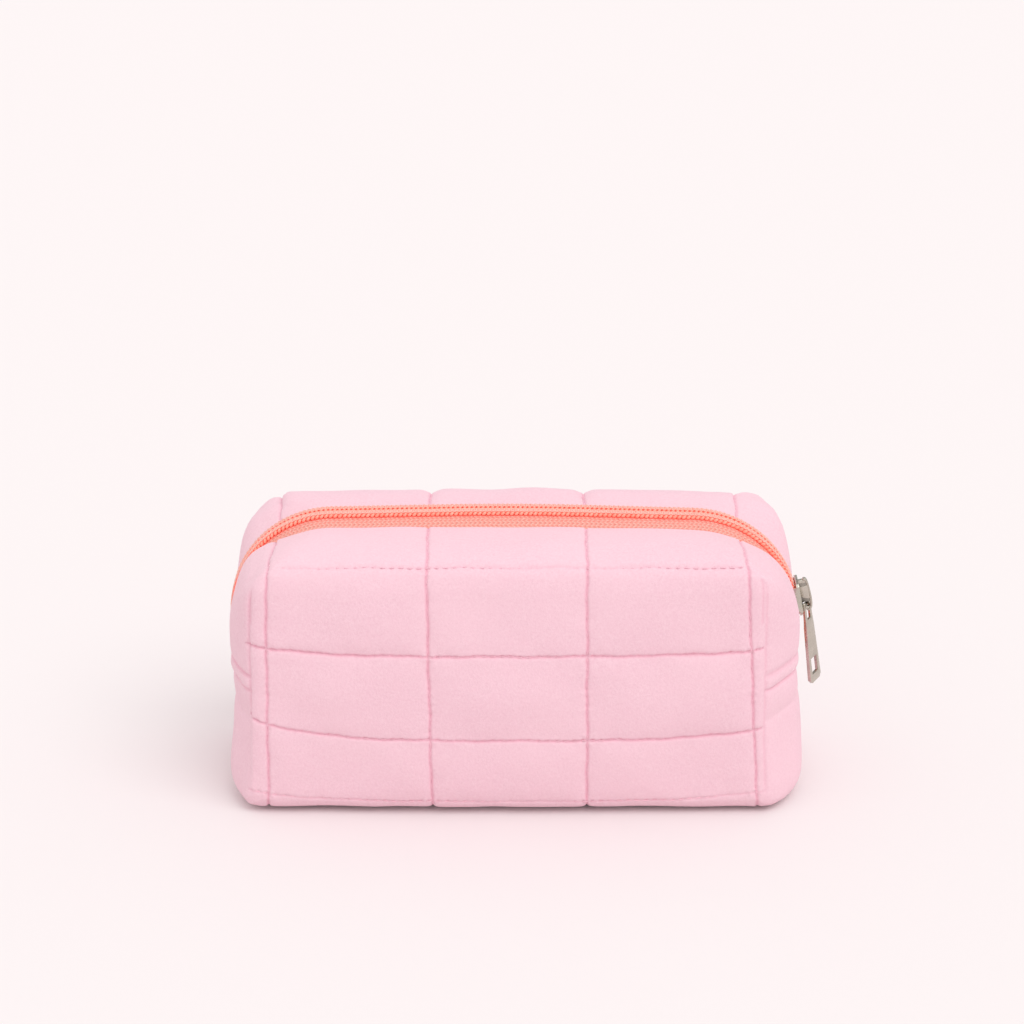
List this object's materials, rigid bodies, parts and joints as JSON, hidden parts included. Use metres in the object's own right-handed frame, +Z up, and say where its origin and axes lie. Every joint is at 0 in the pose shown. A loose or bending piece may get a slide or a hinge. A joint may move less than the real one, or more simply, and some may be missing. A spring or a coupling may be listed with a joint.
{
  "type": "makeup bag",
  "caption": "Soft box-shaped quilted velvet bag with a coil zip over the top and down both ends, and a metal slider with a hanging puller.",
  "frame": {"origin": "centre of the flat bottom, on the floor, midway between the outer quilting columns", "axes": "+X along the bag towards the closed slider, -Y the front face, +Z up"},
  "size_m": [0.1945, 0.075, 0.093],
  "materials": {
    "velvet": "short-pile pink velvet",
    "wadding": "lofted polyester wadding",
    "lining": "plain-weave polyester lining",
    "quilting_thread": "spun polyester sewing thread",
    "zip_tape": "woven coral zip tape",
    "zip_coil": "polyester monofilament coil",
    "coil_cord": "spun filler cord",
    "binding": "folded bias binding",
    "slider_metal": "satin nickel plate on zinc die casting",
    "puller_metal": "satin nickel plate on zinc die casting",
    "spring_steel": "bright"
  },
  "bodies": {
    "bag": {"front_velvet": "velvet", "front_wadding": "wadding", "front_lining": "lining", "front_quilting_thread": "quilting_thread", "front_zip_tape": "zip_tape", "front_zip_coil": "zip_coil", "front_coil_cord": "coil_cord", "front_zip_binding": "binding", "back_velvet": "velvet", "back_wadding": "wadding", "back_lining": "lining", "back_quilting_thread": "quilting_thread", "back_zip_tape": "zip_tape", "back_zip_coil": "zip_coil", "back_coil_cord": "coil_cord", "back_zip_binding": "binding", "left_end_binding": "binding", "right_end_binding": "binding", "corner_bindings": "binding", "bottom_seam_binding": "binding"},
    "slider": {"slider_body": "slider_metal", "slider_cap": "slider_metal"},
    "lock_pawl": {"lock_pawl": "spring_steel"},
    "puller": {"puller": "puller_metal"}
  },
  "joints": [
    {"name": "slider_travel", "type": "hinge", "parent": "bag", "child": "slider", "pos_m": [0.0595, 0, 0.0555], "axis": [0, -1, 0], "range_deg": [0, 75], "deforming": ["front_zip_coil", "back_zip_coil", "front_zip_tape", "back_zip_tape"]},
    {"name": "puller_swing", "type": "hinge", "parent": "slider", "child": "puller", "pos_m": [0.09795, 0, 0.05913], "axis": [0, -1, 0], "range_deg": [-5.5, 150]},
    {"name": "pawl_lift", "type": "slide", "parent": "slider", "child": "lock_pawl", "axis": [0.9848, 0, 0.1736], "range_m": [-0.00003, 0.00055]}
  ],
  "couplings": [
    {"joint": "pawl_lift", "follows": "puller_swing", "m_per_rad": 0.0002}
  ]
}
